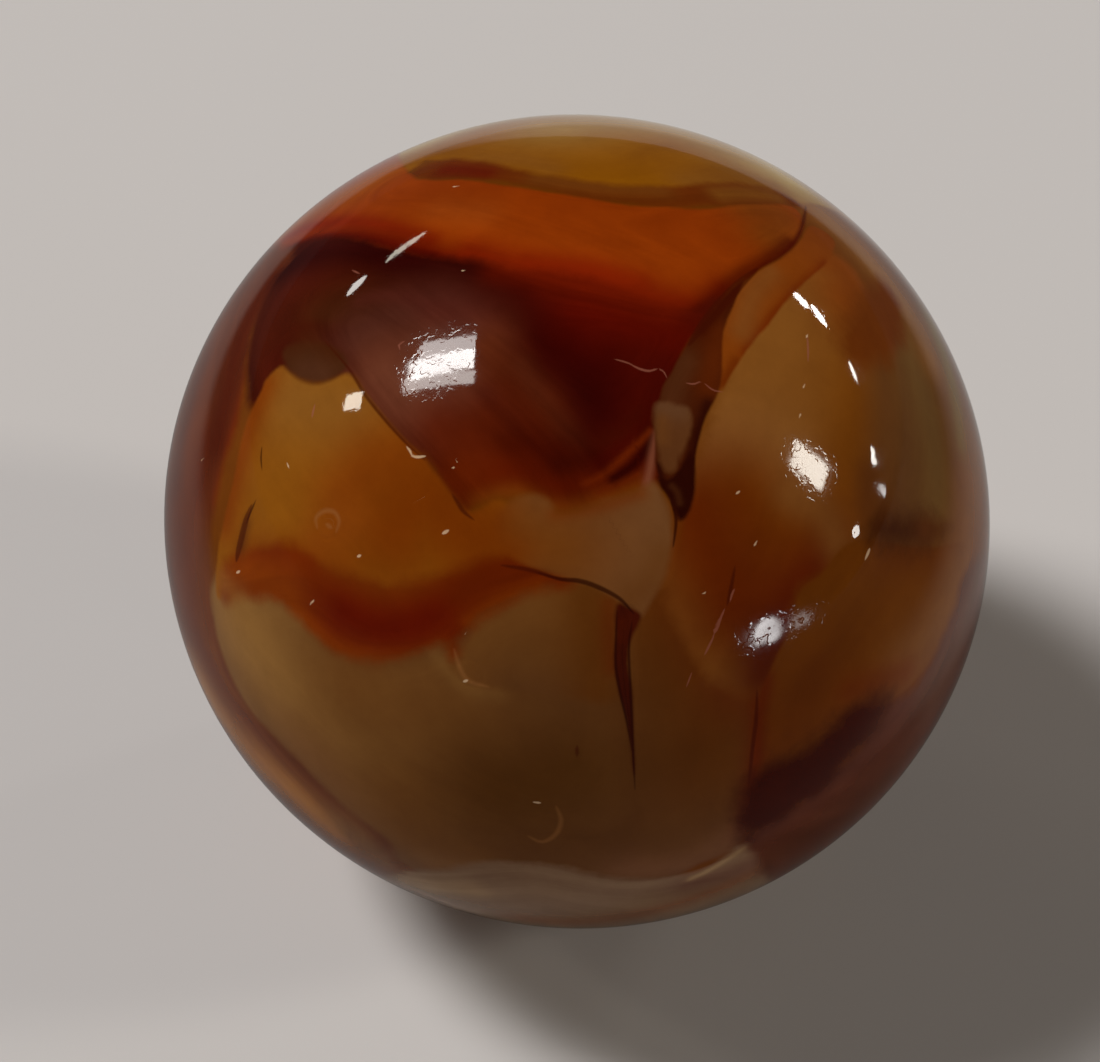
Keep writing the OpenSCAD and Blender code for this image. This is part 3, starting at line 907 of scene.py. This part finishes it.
# Fine lines in the glass, in groups of one colour. Each line has its widest width in millimetres and its
# path. It thins out to nothing at both ends.
fineLines = [
    {
        "name": "darkLines",
        "glass": "nearBlack",
        "strength": 0.8,
        "blur": 0.05,
        "lines": [
            (0.1, [(536, 572), (560, 579), (580, 581), (600, 588), (620, 599), (634, 614)]),
            (0.06, [(632, 622), (629, 650), (631, 700), (633, 750), (635, 790)]),
            (0.06, [(617, 610), (616, 640), (616, 668), (621, 696), (627, 722), (632, 752)]),
            (0.05, [(262, 446), (261, 458), (262, 470)]),
            (0.06, [(256, 500), (251, 511), (246, 524)]),
            (0.07, [(671, 500), (676, 520), (673, 548)]),
        ],
    },
    {
        "name": "brownLines",
        "glass": "swirlBrown",
        "strength": 0.7,
        "blur": 0.06,
        "lines": [
            (0.07, [(325, 341), (345, 364), (355, 378), (365, 395), (385, 420), (405, 442), (425, 460)]),
            (0.09, [(452, 494), (458, 503), (463, 511), (474, 520)]),
            (0.2, [(252, 504), (246, 520), (242, 536), (238, 552), (236, 562)]),
            (0.08, [(577, 745), (577, 757)]),
            (0.09, [(500, 565), (530, 570), (556, 578)]),
            (0.1, [(757, 690), (756, 720), (752, 752), (748, 790)]),
            (0.08, [(735, 566), (731, 588), (727, 606)]),
            (0.26, [(758, 268), (745, 279), (733, 291), (722, 303), (710, 317), (700, 329), (688, 346)]),
        ],
    },
    {
        "name": "redLines",
        "glass": "lineDark",
        "strength": 0.85,
        "blur": 0.12,
        "lines": [
            (0.12, [(806, 206), (804, 218), (800, 232), (792, 245), (778, 257), (760, 267), (744, 280)]),
        ],
    },
    {
        "name": "paleLines",
        "glass": "scratch",
        "strength": 0.6,
        "blur": 0.03,
        "lines": [
            (0.035, [(614, 359), (625, 362), (633, 365)]),
            (0.05, [(630, 364), (640, 369), (650, 371), (658, 368)]),
            (0.03, [(656, 368), (663, 371), (667, 378)]),
            (0.035, [(686, 383), (694, 384), (701, 381)]),
            (0.03, [(704, 383), (713, 390), (723, 392)]),
            (0.05, [(735, 588), (732, 594), (730, 602)]),
            (0.05, [(725, 608), (720, 620), (717, 632)]),
            (0.10, [(719, 619), (716, 628), (714, 634)]),
            (0.05, [(714, 636), (709, 646), (704, 656)]),
            (0.03, [(692, 672), (686, 688)]),
            (0.05, [(807, 334), (808, 348), (808, 362)]),
            (0.05, [(315, 404), (313, 412), (312, 418)]),
            (0.04, [(352, 270), (360, 274)]),
            (0.04, [(400, 350), (399, 344), (405, 341)]),
        ],
    },
    {
        "name": "bruises",
        "glass": "paleBruise",
        "strength": 0.38,
        "blur": 0.1,
        "lines": [
            (0.09, [(317, 528), (316, 518), (324, 511), (334, 512), (339, 521), (336, 532)]),
            (0.08, [(326, 524), (332, 528)]),
            (0.1, [(528, 836), (542, 842), (556, 834), (561, 820), (556, 806)]),
            (0.09, [(454, 649), (460, 668), (469, 681), (489, 687)]),
        ],
    },
    # Pale dust specks and painted glints of the lamps, as tiny bright marks
    {
        "name": "specks",
        "glass": "glintSpeck",
        "strength": 0.6,
        "blur": 0.03,
        "lines": [
            (0.045, [(406, 446), (410, 451), (412, 456)]),
            (0.055, [(411, 456), (418, 457), (426, 456)]),
            (0.05, [(456, 459), (459, 457)]),
            (0.05, [(452, 468), (455, 467)]),
            (0.07, [(442, 534), (449, 530)]),
            (0.06, [(236, 573), (240, 571)]),
            (0.06, [(357, 557), (361, 555)]),
            (0.06, [(310, 605), (314, 600)]),
            (0.06, [(201, 461), (204, 458)]),
            (0.05, [(451, 187), (459, 186)]),
            (0.045, [(461, 271), (466, 270)]),
            (0.04, [(287, 463), (289, 468)]),
            (0.04, [(465, 634), (467, 631)]),
            (0.06, [(463, 682), (468, 680)]),
            (0.06, [(533, 802), (541, 803)]),
            (0.045, [(803, 388), (805, 384)]),
            (0.045, [(799, 418), (801, 413)]),
            (0.045, [(736, 494), (740, 491)]),
            (0.07, [(865, 560), (868, 553), (870, 548)]),
            (0.05, [(806, 338), (808, 334)]),
            (0.05, [(754, 546), (757, 541)]),
            (0.05, [(702, 594), (706, 592)]),
        ],
    },
]

# Lines that the streaks in the glass run along.
guides = [
    [(250, 350), (276, 290), (320, 245), (380, 240), (440, 250), (540, 280), (640, 304), (700, 312)],
    [(236, 600), (300, 600), (360, 640), (430, 636), (480, 596), (560, 572), (630, 600)],
    [(800, 235), (745, 282), (704, 330), (668, 385), (658, 440), (672, 510), (668, 577), (636, 620),
     (630, 780)],
    [(245, 285), (214, 400), (208, 520), (214, 640), (262, 728), (340, 805)],
    [(850, 270), (886, 370), (872, 520), (820, 610), (765, 690), (745, 830)],
    [(412, 176), (520, 187), (640, 204), (790, 205)],
    [(330, 345), (385, 420), (440, 480), (475, 520)],
    [(400, 868), (520, 866), (640, 880), (745, 846)],
    {"behind": [(156, 88), (164, 108), (178, 134), (206, 152), (244, 158)]},
    {"behind": [(205, 88), (212, 110), (230, 134), (262, 148)]},
    {"behind": [(132, 88), (138, 112), (138, 142), (168, 170)]},
    {"behind": [(64, 88), (80, 108), (104, 130), (136, 148)]},
    {"behind": [(310, 90), (318, 112), (334, 134), (356, 154)]},
    {"behind": [(10, 88), (16, 118), (40, 146)]},
]


def flowOf(skin):
    # How far to the side of the guides each skin point lies (mm): the mean of its distances to all of
    # them, each weighed by one over the square of that distance with the blend added
    total = np.zeros(len(skin))
    weights = np.zeros(len(skin))
    for path in guides:
        apart, aside, _ = measured(skin, easyCurve(placesOf(path), False), False)
        weight = 1 / (apart + drawing["guideBlend"]) ** 2
        total += weight * aside
        weights += weight
    return total / weights


# The marks in the skin (millimetres), at the same places as in the part's source and as wide, but only as
# deep as the gloss shows them. A groove's path is [around, out, heading, bow]; the other places are
# [around, out].
marks = {
    "grooves": [
        {"path": (71, 35, 88, 37), "long": 8.2, "wide": 0.42, "deep": 0.008},
        {"path": (40, 12, 178, 40), "long": 2.8, "wide": 0.42, "deep": 0.008},
        {"path": (200, 158, 60, 30), "long": 7.0, "wide": 0.42, "deep": 0.05},
        {"path": (24, 43, -19, 61), "long": 9.0, "wide": 0.5, "deep": 0.002},
    ],
    "fold": {"path": (-47, 13, -117, 8), "long": 8.0, "wide": 0.36, "deep": 0.02},
    "flakes": [(-16, 29), (25, 21), (-157, 50), (-70, 118)],
    "flakeWide": 0.8,
    "flakeDeep": 0.004,
    "moons": [(-165, 33), (-82, 43), (-111, 24), (100, 125)],
    "moonWide": 0.6,
    "moonLine": 0.14,
    "moonDeep": 0.004,
    "pecks": [(171, 21), (-161, 17), (-157, 29), (170, 39), (12, 38), (20, 43), (60, 110), (-20, 140)],
    "peckWide": 0.26,
    "peckDeep": 0.0015,
}


def grooveDepth(skin, groove, blunt=False):
    # In the groove's own frame its line is a level ring round z. Its depth is full at the middle and
    # falls to nothing at both ends as a parabola, and across it the bottom is round. A blunt groove has
    # only the half past its middle.
    around, out, heading, bow = groove["path"]
    turn = turnedBy(around, "Z") @ turnedBy(out, "Y") @ turnedBy(heading, "Z") @ turnedBy(bow - 90, "Y")
    local = skin @ turn
    radius = ballRadius / mm
    along = np.arctan2(local[:, 1], local[:, 0]) * np.cos(np.radians(bow)) * radius
    across = (np.arcsin(local[:, 2].clip(-1, 1)) - np.radians(bow)) * radius
    if blunt:
        across = np.hypot(across, np.minimum(along, 0))
        along = np.maximum(along, 0)
    scoop = (groove["wide"] ** 2 / 4 + groove["deep"] ** 2) / (2 * groove["deep"])
    middle = groove["deep"] * (1 - (2 * along / groove["long"]) ** 2)
    return np.maximum(middle - across**2 / (2 * scoop), 0)


def awayFrom(skin, place):
    # Distance (mm) of each skin point from one place on it
    return np.linalg.norm(skin - turnedTo([place])[0], axis=1) * ballRadius / mm


def reliefOf(skin):
    # How far each skin point is sunk (metres, below nought) by the deepest mark there: grooves,
    # dishes with a soft edge for flakes and pecks, and sharp rings for moons
    depth = grooveDepth(skin, marks["fold"], blunt=True)
    for groove in marks["grooves"]:
        depth = np.maximum(depth, grooveDepth(skin, groove))
    for places, wide, deep in (("flakes", "flakeWide", "flakeDeep"), ("pecks", "peckWide", "peckDeep")):
        for place in marks[places]:
            away = awayFrom(skin, place)
            share = (2 * away / marks[wide]).clip(0, 1)
            depth = np.maximum(depth, marks[deep] * (1 - share**2) ** 2)
    for place in marks["moons"]:
        ring = np.abs(awayFrom(skin, place) - marks["moonWide"] / 2)
        depth = np.maximum(depth, marks["moonDeep"] * (1 - 2 * ring / marks["moonLine"]))
    return -depth * mm


def refined(points, squares):
    # Each edge near a mark is cut in half, once more near the fold and the small marks, and the points are
    # pushed out to the unit ball again
    for again, near in enumerate(ball["cutNear"]):
        rough = bpy.data.meshes.new("rough")
        rough.from_pydata(points.tolist(), [], [list(face) for face in squares])
        bm = bmesh.new()
        bm.from_mesh(rough)
        wanted = np.zeros(len(points), bool)
        for groove in marks["grooves"] + [marks["fold"]]:
            wide = {**groove, "wide": groove["wide"] + near}
            if not again or groove is marks["fold"]:
                wanted |= grooveDepth(points, wide, groove is marks["fold"]) > 0
        for places, wide in (("flakes", "flakeWide"), ("pecks", "peckWide"), ("moons", "moonWide")):
            for place in marks[places]:
                wanted |= awayFrom(points, place) < marks[wide] / 2 + near
        edges = [edge for edge in bm.edges if wanted[edge.verts[0].index] and wanted[edge.verts[1].index]]
        bmesh.ops.subdivide_edges(bm, edges=edges, cuts=1, use_grid_fill=True)
        bm.to_mesh(rough)
        bm.free()
        points = np.empty(3 * len(rough.vertices))
        rough.vertices.foreach_get("co", points)
        points = points.reshape(-1, 3)
        points /= np.linalg.norm(points, axis=1, keepdims=True)
        squares = [list(face.vertices) for face in rough.polygons]
        bpy.data.meshes.remove(rough)
    return points, squares


print("stage: ball")
skin, faces = refined(*cubeSkin(ball["cubeSteps"], ball["faceZoom"]))
mesh = bpy.data.meshes.new("marble")
mesh.from_pydata(skinPlace(skin, reliefOf(skin)).tolist(), [], faces)
mesh.polygons.foreach_set("use_smooth", np.ones(len(faces), bool))
marble = bpy.data.objects.new("swirledMarble", mesh)
scene.collection.objects.link(marble)
print("points", len(skin), "triangles", sum(len(face) - 2 for face in faces))


def keep(name, values):
    # One value, or one colour, for each point of the skin
    if values.ndim == 1:
        mesh.attributes.new(name, "FLOAT", "POINT").data.foreach_set("value", values.astype(np.float32))
    else:
        colours = np.hstack([values, np.ones((len(values), 1))]).astype(np.float32)
        mesh.attributes.new(name, "FLOAT_COLOR", "POINT").data.foreach_set("color", colours.ravel())


# The finish: how the streaks tint the glass, and how the skin shines. What is called fine is how many of
# the thing there are to the metre.
finish = {
    "streakDark": (0.5, 0.38, 0.34),  # what the darkest and the lightest streaks multiply the glass by
    "streakLight": (1.35, 1.5, 1.6),
    "streaksAcross": 2.2,  # to the millimetre, across the flow
    "streakFine": 160.0,  # and along it
    "wanderFine": 700.0,
    "wander": 1.4,  # how far an edge wanders, in units of its softness
    "feather": 1.0,  # and how far it follows the streaks
    "cloudDark": (0.93, 0.91, 0.9),  # what the clouds in the glass multiply it by
    "cloudLight": (1.07, 1.09, 1.1),
    "cloudFine": 520.0,
    "noiseSpan": (0.3, 0.7),  # the levels of noise at which streaks and clouds are darkest and lightest
    "roughness": 0.03,
    "smudged": 0.05,  # what the smudges and the scuffs add to the roughness
    "scuffed": 0.1,
    "smudgeFine": 260.0,
    "smudgeSpan": (0.45, 0.8),
    "refraction": 1.4,
    "pitDeep": 0.0000005,  # metres
    "pitFine": 5200.0,
    "pitSpan": (0.5, 0.62),
    "pitted": 0.3,  # share of their depth that the pits have on the plain skin
    "broken": 5.0,  # and what a scuff adds to it
    "waveFine": 900.0,
    "wave": 3.0,  # height of the skin's waves, as a share of the pits' depth
}

# Where the skin is scuffed, it shines less sharply: half width (mm), strength and path.
scuffs = [
    (0.25, 0.5, [(404, 345), (430, 332), (470, 326)]),
    (0.3, 0.45, [(402, 372), (424, 366), (452, 366)]),
    (0.2, 0.4, [(410, 397), (440, 394)]),
    (0.3, 0.4, [(790, 440), (792, 466), (812, 494)]),
    (0.3, 0.35, [(806, 440), (830, 466), (826, 494)]),
    (0.4, 1.0, [(748, 640), (766, 630), (784, 622)]),
    (0.3, 0.9, [(790, 622), (820, 612)]),
]


def noisy(tree, place, fine, detail, roughness=0.5):
    # An even noise, with so many bumps to the metre
    noise = addNode(tree, "TexNoise", None, Vector=place, Scale=fine, Detail=detail, Roughness=roughness)
    return noise.outputs["Fac"]


def streaksAlong(tree, place):
    # A noise drawn out along the flow: it changes slowly over the skin, and fast with the flow's own level
    keep("flow", flowOf(skin))
    slow = addNode(tree, "VectorMath", {"operation": "SCALE"}, Vector=place, Scale=finish["streakFine"])
    level = math(tree, "MULTIPLY", kept(tree, "flow").outputs["Fac"], finish["streaksAcross"])
    noise = addNode(tree, "TexNoise", {"noise_dimensions": "4D"}, Vector=slow.outputs[0], W=level, Scale=1.0,
                    Detail=4.0, Roughness=0.6)
    return noise.outputs["Fac"]


def layRegions(tree, place, streaks):
    # Each region is mixed over the ones before it, by a smooth step of its depth and a ripple. With the
    # ripple every edge wanders a little, and feathers along the streaks.
    ripple = noisy(tree, place, finish["wanderFine"], 5.0, 0.65)
    ripple = math(tree, "MULTIPLY_ADD", ripple, finish["wander"], -finish["wander"] / 2)
    feather = math(tree, "MULTIPLY_ADD", streaks, finish["feather"], -finish["feather"] / 2)
    ripple = math(tree, "ADD", ripple, feather)
    keep("ground", brushed(skin, swirl[0]))
    colour = kept(tree, "ground").outputs["Color"]
    streakiness = np.full(len(skin), swirl[0]["streaks"])
    for region in swirl[1:]:
        depth = depthInside(skin, region)
        share = (depth + 0.5).clip(0, 1)
        streakiness += (region["streaks"] - streakiness) * share
        keep(region["name"], brushed(skin, region))
        keep(region["name"] + "Depth", depth)
        depth = math(tree, "ADD", kept(tree, region["name"] + "Depth").outputs["Fac"], ripple)
        cover = smoothed(tree, depth, -0.5, 0.5)
        colour = mixed(tree, cover, colour, kept(tree, region["name"]).outputs["Color"])
    keep("streakiness", streakiness)
    return colour


def tintGlass(tree, place, streaks, colour):
    # The streaks and then the clouds multiply the colour by something between their dark and their light
    streak = smoothed(tree, streaks, *finish["noiseSpan"])
    tint = mixed(tree, streak, finish["streakDark"], finish["streakLight"])
    tinted = mixed(tree, 1.0, colour, tint, "MULTIPLY")
    colour = mixed(tree, kept(tree, "streakiness").outputs["Fac"], colour, tinted)
    cloud = smoothed(tree, noisy(tree, place, finish["cloudFine"], 6.0, 0.7), *finish["noiseSpan"])
    tint = mixed(tree, cloud, finish["cloudDark"], finish["cloudLight"])
    return mixed(tree, 1.0, colour, tint, "MULTIPLY")


def keepLines(group):
    # At each skin point, how far to the side of the group's best line it lies, and half that line's width
    # there (both mm). A line's width goes with the root of a half wave along it, and is less past its ends.
    side = np.full(len(skin), drawing["farAway"])
    girth = np.full(len(skin), -1.0)
    for width, path in group["lines"]:
        curve = easyCurve(placesOf(path), False)
        near, _ = capAround(skin, curve, drawing["lineReach"])
        near = np.flatnonzero(near)
        apart, aside, along = measured(skin[near], curve, False)
        half = width / 2 * np.sqrt(np.sin(np.pi * along).clip(0, 1)) - (apart - np.abs(aside))
        better = half - np.abs(aside) > girth[near] - np.abs(side[near])
        side[near[better]] = aside[better]
        girth[near[better]] = half[better]
    keep(group["name"] + "Side", side)
    keep(group["name"] + "Girth", girth)


def drawLines(tree, colour):
    # Each group of fine lines is mixed over the glass where the half width is more than the side distance
    for group in fineLines:
        keepLines(group)
        side = math(tree, "ABSOLUTE", kept(tree, group["name"] + "Side").outputs["Fac"])
        inside = math(tree, "SUBTRACT", kept(tree, group["name"] + "Girth").outputs["Fac"], side)
        cover = smoothed(tree, inside, -group["blur"] / 2, group["blur"] / 2, group["strength"])
        colour = mixed(tree, cover, colour, asLight(glass[group["glass"]]))
    return colour


def keepScuffs():
    # The strength of the strongest scuff at each skin point, which fades as a bell curve off its path
    scuffed = np.zeros(len(skin))
    for width, strength, path in scuffs:
        apart, _, _ = measured(skin, easyCurve(placesOf(path), False), False)
        scuffed = np.maximum(scuffed, strength * np.exp(-((apart / width) ** 2)))
    keep("scuffed", scuffed)


def roughnessOf(tree, place):
    # The plain roughness, with what the smudges and the scuffs add
    smudge = smoothed(tree, noisy(tree, place, finish["smudgeFine"], 4.0, 0.7), *finish["smudgeSpan"])
    rough = math(tree, "MULTIPLY_ADD", smudge, finish["smudged"], finish["roughness"])
    return math(tree, "MULTIPLY_ADD", kept(tree, "scuffed").outputs["Fac"], finish["scuffed"], rough)


def bumpOf(tree, place):
    # Pits, deeper where the skin is scuffed, on slow waves
    pits = noisy(tree, place, finish["pitFine"], 2.0)
    wave = noisy(tree, place, finish["waveFine"], 3.0)
    scuff = kept(tree, "scuffed").outputs["Fac"]
    broken = math(tree, "MULTIPLY_ADD", scuff, finish["broken"], finish["pitted"])
    pitted = math(tree, "MULTIPLY", smoothed(tree, pits, *finish["pitSpan"]), broken)
    pitted = math(tree, "ADD", pitted, math(tree, "MULTIPLY", wave, finish["wave"]))
    bump = addNode(tree, "Bump", None, Height=pitted, Distance=finish["pitDeep"], Strength=1.0)
    return bump.outputs["Normal"]


def makeGlass():
    # Opaque glass with the swirl in it and a clear gloss
    material = bpy.data.materials.new("swirledGlass")
    material.use_nodes = True
    tree = material.node_tree
    shader = tree.nodes["Principled BSDF"]
    shader.inputs["IOR"].default_value = finish["refraction"]
    place = addNode(tree, "TexCoord").outputs["Object"]
    streaks = streaksAlong(tree, place)
    colour = layRegions(tree, place, streaks)
    colour = tintGlass(tree, place, streaks, colour)
    colour = drawLines(tree, colour)
    tree.links.new(colour, shader.inputs["Base Color"])
    keepScuffs()
    tree.links.new(roughnessOf(tree, place), shader.inputs["Roughness"])
    tree.links.new(bumpOf(tree, place), shader.inputs["Normal"])
    return material


print("stage: glass")
mesh.materials.append(makeGlass())


print("stage: floor, lamps and camera")
# The floor runs well past the camera's view, level with the ball's lowest point.
floorParts = {
    "reach": 1.6,  # metres from the middle to its edge
    "colour": (0.60, 0.572, 0.562),
    "roughness": 0.85,
    "gloss": 0.2,
    "dim": 0.05,  # how much of its light the glass mirrors, far from the ball
    # The pale patches that the glass mirrors: what they add, their middle and their reach (metres)
    "patches": [
        (0.32, (-0.012, 0.03, 0), (0.028, 0.045, 1)),
        (0.46, (0.014, 0.13, 0), (0.036, 0.15, 1)),
    ],
    "fade": (1.15, 0.75),  # where a patch ends and where it is full, as shares of its reach
    "front": -0.014,  # metres along y at which only a share of them is left, towards the camera
    "frontShare": 0.3,
}


def makeBoard():
    # A pale matt board. The glass mirrors a dim one, with soft oval patches, each a smooth step of the
    # distance from its middle, that fade towards the camera.
    material = bpy.data.materials.new("paleBoard")
    material.use_nodes = True
    tree = material.node_tree
    shader = tree.nodes["Principled BSDF"]
    place = addNode(tree, "TexCoord").outputs["Object"]
    pale = 0.0
    for adds, middle, reach in floorParts["patches"]:
        patch = {"Location": middle, "Scale": reach}
        centred = addNode(tree, "Mapping", {"vector_type": "TEXTURE"}, Vector=place, **patch).outputs[0]
        away = addNode(tree, "VectorMath", {"operation": "LENGTH"}, Vector=centred).outputs["Value"]
        pale = math(tree, "ADD", pale, smoothed(tree, away, *floorParts["fade"], adds))
    behind = addNode(tree, "SeparateXYZ", Vector=place).outputs["Y"]
    left = smoothed(tree, behind, floorParts["front"], 0.0, 1.0, floorParts["frontShare"])
    pale = math(tree, "MULTIPLY", pale, left)
    pale = math(tree, "ADD", pale, floorParts["dim"])
    glossy = addNode(tree, "LightPath").outputs["Is Glossy Ray"]
    share = addNode(tree, "MapRange", Value=glossy, To_Min=1.0, To_Max=pale).outputs["Result"]
    colour = addNode(tree, "VectorMath", {"operation": "SCALE"}, Scale=share)
    colour.inputs[0].default_value = floorParts["colour"]
    tree.links.new(colour.outputs["Vector"], shader.inputs["Base Color"])
    shader.inputs["Roughness"].default_value = floorParts["roughness"]
    shader.inputs["Specular IOR Level"].default_value = floorParts["gloss"]
    return material


def makeFloor():
    # One flat square
    reach = floorParts["reach"]
    corners = [(-reach, -reach), (reach, -reach), (reach, reach), (-reach, reach)]
    floorMesh = bpy.data.meshes.new("floor")
    floorMesh.from_pydata([(x, y, lowCorner.z) for x, y in corners], [], [(0, 1, 2, 3)])
    floorMesh.materials.append(makeBoard())
    made = bpy.data.objects.new("floor", floorMesh)
    scene.collection.objects.link(made)
    return made


# Each lamp is a bright rectangle, or an ellipse if it is round, seen from the ball: "around" turns from the
# camera's side to the right, "up" is above level, and wide, high and tilt are degrees. A glow of 1 looks
# white. "yellow" takes that share of the blue out of its light, and a quarter of that out of the green. A
# soft lamp's edge fades over that share of its size. The glass mirrors them all but the plain one, which
# only lights.
lampDistance = 2.0  # metres
# A soft lamp is three lamps in one place: how far each reaches into the soft edge, and its share of the
# glow.
softSteps = [(0, 0.76), (0.5, 0.19), (1, 0.05)]
lamps = {
    "plain": {"around": -103, "up": 55, "wide": 13, "high": 18, "tilt": 0, "glow": 16},
    "windowTop": {
        "around": -111.2, "up": 57.0, "wide": 4.4, "high": 13.9, "tilt": 10.7,
        "glow": 13, "yellow": 0.03,
    },
    "windowMiddle": {
        "around": -102.6, "up": 56.4, "wide": 5.4, "high": 16.6, "tilt": 4,
        "glow": 34, "yellow": 0.03,
    },
    "windowLow": {
        "around": -94.6, "up": 55.8, "wide": 3.6, "high": 18.6, "tilt": -7.5,
        "glow": 12.5, "yellow": 0.06,
    },
    "paneBeside": {
        "around": -98.6, "up": 32.7, "wide": 4.0, "high": 4.9, "tilt": -17,
        "glow": 20, "yellow": 0.2,
    },
    "longTube": {
        "around": -145.1, "up": 26.6, "wide": 8.8, "high": 1.9, "tilt": -9.5,
        "glow": 8.5, "round": 1, "yellow": 0.2,
    },
    "shortTube": {
        "around": -133.7, "up": 22.7, "wide": 5.1, "high": 2.2, "tilt": -17,
        "glow": 12, "round": 1, "yellow": 0.08,
    },
    "patch": {
        "around": 84.0, "up": 26.3, "wide": 6.4, "high": 10.4, "tilt": 3,
        "glow": 32, "soft": 0.24, "yellow": 0.15,
    },
    "glintA": {
        "around": 130.3, "up": 23.4, "wide": 3.9, "high": 2.5, "tilt": 15,
        "glow": 30, "round": 1, "yellow": 0.1,
    },
    "glintB": {
        "around": 127.2, "up": 20.3, "wide": 5.1, "high": 2.8, "tilt": 13,
        "glow": 30, "round": 1, "yellow": 0.1,
    },
    "glintC": {
        "around": 115.9, "up": 15.1, "wide": 4.2, "high": 2.2, "tilt": 16,
        "glow": 24, "round": 1, "yellow": 0.1,
    },
    "glintD": {
        "around": 100.8, "up": 8.8, "wide": 2.1, "high": 2.0, "tilt": 45,
        "glow": 22, "round": 1, "yellow": 0.1,
    },
    "glintE": {
        "around": 99.2, "up": 8.0, "wide": 2.3, "high": 2.2, "tilt": 45,
        "glow": 22, "round": 1, "yellow": 0.1,
    },
    "glintF": {"around": 94.9, "up": 4.2, "wide": 2.6, "high": 1.6, "tilt": 50, "glow": 12, "round": 1},
    "glintG": {
        "around": 82.2, "up": 6, "wide": 2.8, "high": 2.1, "tilt": 35,
        "glow": 20, "round": 1, "yellow": 0.1,
    },
    "lowPatch": {"around": 47.8, "up": 4.2, "wide": 5.6, "high": 3.2, "tilt": 5, "glow": 30},
    "lowTail": {"around": 58, "up": 1.2, "wide": 7.0, "high": 1.4, "tilt": -12, "glow": 10, "round": 1},
}


def aimedAt(around, up):
    # The direction that is "around" degrees to the right of the camera's side and "up" degrees above
    # level
    a, u = np.radians([around, up])
    return Vector((np.sin(a) * np.cos(u), -np.cos(a) * np.cos(u), np.sin(u)))


def makeLamp(name, lamp):
    # A rectangle or ellipse whose sides are the lamp's angles at the lamp's distance, turned to face the
    # ball. The power of a lamp is its glow times pi times its area.
    toLamp = aimedAt(lamp["around"], lamp["up"])
    facing = toLamp.to_track_quat("Z", "Y").to_matrix() @ Matrix.Rotation(np.radians(lamp["tilt"]), 3, "Z")
    for step, share in softSteps if "soft" in lamp else [(0, 1)]:
        grown = 1 + lamp.get("soft", 0) * step
        light = bpy.data.lights.new(name, "AREA")
        light.shape = "ELLIPSE" if "round" in lamp else "RECTANGLE"
        light.size = 2 * lampDistance * np.tan(np.radians(lamp["wide"] * grown / 2))
        light.size_y = 2 * lampDistance * np.tan(np.radians(lamp["high"] * grown / 2))
        area = light.size * light.size_y * (np.pi / 4 if "round" in lamp else 1)
        light.energy = lamp["glow"] * share * np.pi * area
        light.color = (1, 1 - lamp.get("yellow", 0) / 4, 1 - lamp.get("yellow", 0))
        made = bpy.data.objects.new(name, light)
        made.matrix_world = Matrix.Translation(toLamp * lampDistance) @ facing.to_4x4()
        made.visible_glossy = name != "plain"
        scene.collection.objects.link(made)


# The room is a dim sky, paler towards the horizon.
room = {
    "overhead": (0.035, 0.03, 0.027),
    "horizon": (0.33, 0.27, 0.24),
    "bandTop": 0.55,  # sine of the height at which the pale band ends
    "mirrored": 0.1,  # how much of its light the glass mirrors
}


def makeRoom():
    # The colour is a smooth step of the height of the view's direction
    world = bpy.data.worlds.new("room")
    scene.world = world
    world.use_nodes = True
    tree = world.node_tree
    direction = addNode(tree, "TexCoord").outputs["Generated"]
    height = addNode(tree, "SeparateXYZ", Vector=direction).outputs["Z"]
    colour = mixed(tree, smoothed(tree, height, 0.0, room["bandTop"]), room["horizon"], room["overhead"])
    backdrop = tree.nodes["Background"]
    tree.links.new(colour, backdrop.inputs["Color"])
    glossy = addNode(tree, "LightPath").outputs["Is Glossy Ray"]
    share = addNode(tree, "MapRange", Value=glossy, To_Min=1.0, To_Max=room["mirrored"]).outputs["Result"]
    tree.links.new(share, backdrop.inputs["Strength"])


def makeCamera():
    # The camera faces the ball's middle, and the lens is shifted so that the ball shows off the middle
    lens = bpy.data.cameras.new("camera")
    lens.sensor_width = view["sensor"]
    lens.lens = view["sensor"] * focalPixels / view["wide"]
    lens.shift_x = (view["wide"] / 2 - view["ballAcross"]) / view["wide"]
    lens.shift_y = (view["ballDown"] - view["high"] / 2) / view["wide"]
    lens.clip_start = ballRadius * 0.01
    made = bpy.data.objects.new("camera", lens)
    eye = Vector(toEye)
    turned = eye.to_track_quat("Z", "Y").to_matrix().to_4x4()
    made.matrix_world = Matrix.Translation(eye * view["distance"] * ballRadius) @ turned
    scene.collection.objects.link(made)
    scene.camera = made


floor = makeFloor()
for name, lamp in lamps.items():
    makeLamp(name, lamp)
makeRoom()
makeCamera()

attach(marble, "root")
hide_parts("marble")
